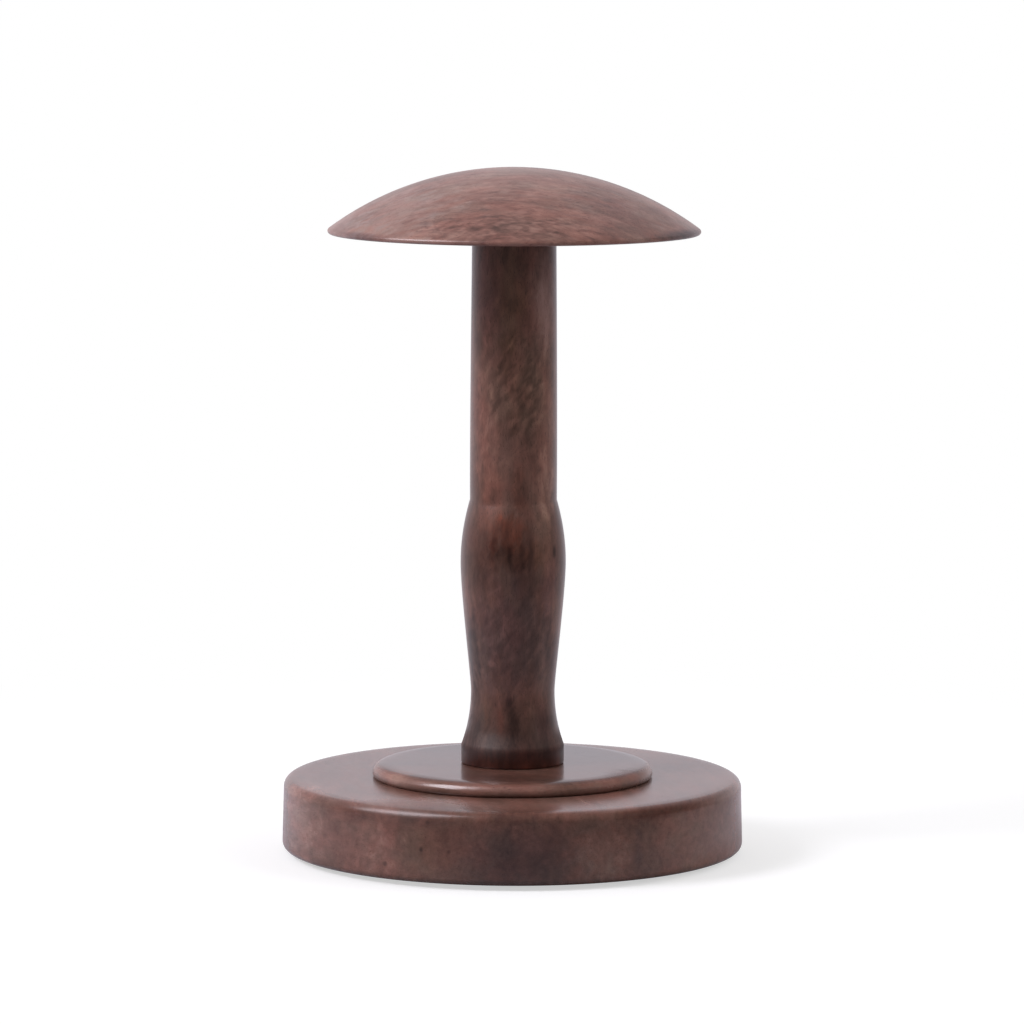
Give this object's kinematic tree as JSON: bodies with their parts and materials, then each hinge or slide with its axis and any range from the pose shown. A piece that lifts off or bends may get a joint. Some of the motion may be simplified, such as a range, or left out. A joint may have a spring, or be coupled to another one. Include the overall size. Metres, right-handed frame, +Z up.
{
  "type": "hat display stand",
  "caption": "Tabletop hat stand of turned wood: a shallow domed cap that carries the crown of a hat, on a waisted post screwed to a stepped round base.",
  "frame": {"origin": "middle of the stand on the surface that it stands on, at the underside of the felt pads", "axes": "+Z up along the axis of the post; the picture looks along +Y with +X to its right"},
  "size_m": [0.2, 0.2, 0.2974],
  "materials": {
    "stained_wood_base": "walnut-stained fine-grained hardwood under satin clear lacquer, grain level across the disc",
    "stained_wood_step": "walnut-stained fine-grained hardwood under satin clear lacquer, grain level across the disc",
    "stained_wood_post": "walnut-stained fine-grained hardwood under satin clear lacquer, grain along the post",
    "stained_wood_cap": "walnut-stained fine-grained hardwood with a short curly figure under satin clear lacquer, grain level",
    "zinc_steel": "bright zinc-plated steel",
    "insert_brass": "plain machined brass",
    "dark_felt": "dense pressed wool felt, self-adhesive"
  },
  "bodies": {
    "root": {"base_disc": "stained_wood_base", "base_step": "stained_wood_step", "post": "stained_wood_post", "cap": "stained_wood_cap", "base_bolt": "zinc_steel", "spring_washer": "zinc_steel", "flat_washer": "zinc_steel", "cap_stud": "zinc_steel", "post_insert": "insert_brass", "cap_insert": "insert_brass", "felt_pad_1": "dark_felt", "felt_pad_2": "dark_felt", "felt_pad_3": "dark_felt", "felt_pad_4": "dark_felt"}
  },
  "joints": []
}
